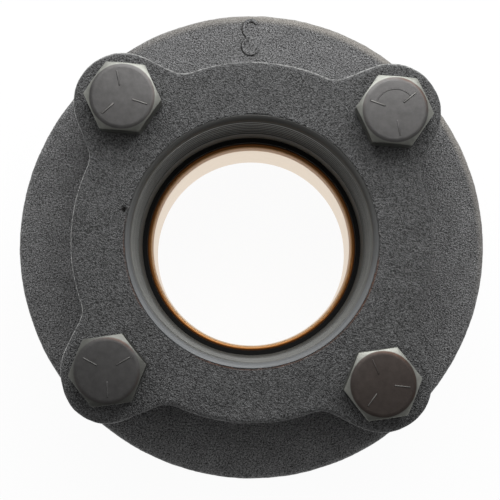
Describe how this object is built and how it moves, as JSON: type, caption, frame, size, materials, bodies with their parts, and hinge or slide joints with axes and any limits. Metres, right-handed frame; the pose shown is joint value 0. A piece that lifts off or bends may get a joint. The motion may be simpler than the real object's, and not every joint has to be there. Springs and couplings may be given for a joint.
{
  "type": "dielectric union",
  "caption": "Flange-type dielectric union: an eared threaded iron flange bolted to a round iron flange, holding an insulated bronze tailpiece with a solder cup.",
  "frame": {"origin": "centre of the open rim of the solder cup, on which the fitting stands", "axes": "+Z along the pipe axis, from the solder cup to the threaded mouth; the bolts lie at 45 degrees to X and Y"},
  "size_m": [0.1762, 0.1762, 0.1059],
  "materials": {
    "cast_iron": "sand cast, dark grey, matt",
    "bronze": "machined bronze",
    "gasket_rubber": "black, matt",
    "bushing_nylon": "natural nylon",
    "bolt_steel": "plain grey steel, forged top",
    "nut_steel": "plain grey steel"
  },
  "bodies": {
    "root": {"threaded_flange": "cast_iron", "backing_flange": "cast_iron", "tailpiece": "bronze", "gasket": "gasket_rubber", "insulating_bushing": "bushing_nylon", "hex_bolt_1": "bolt_steel", "hex_bolt_2": "bolt_steel", "hex_bolt_3": "bolt_steel", "hex_bolt_4": "bolt_steel", "hex_nut_1": "nut_steel", "hex_nut_2": "nut_steel", "hex_nut_3": "nut_steel", "hex_nut_4": "nut_steel"}
  },
  "joints": []
}
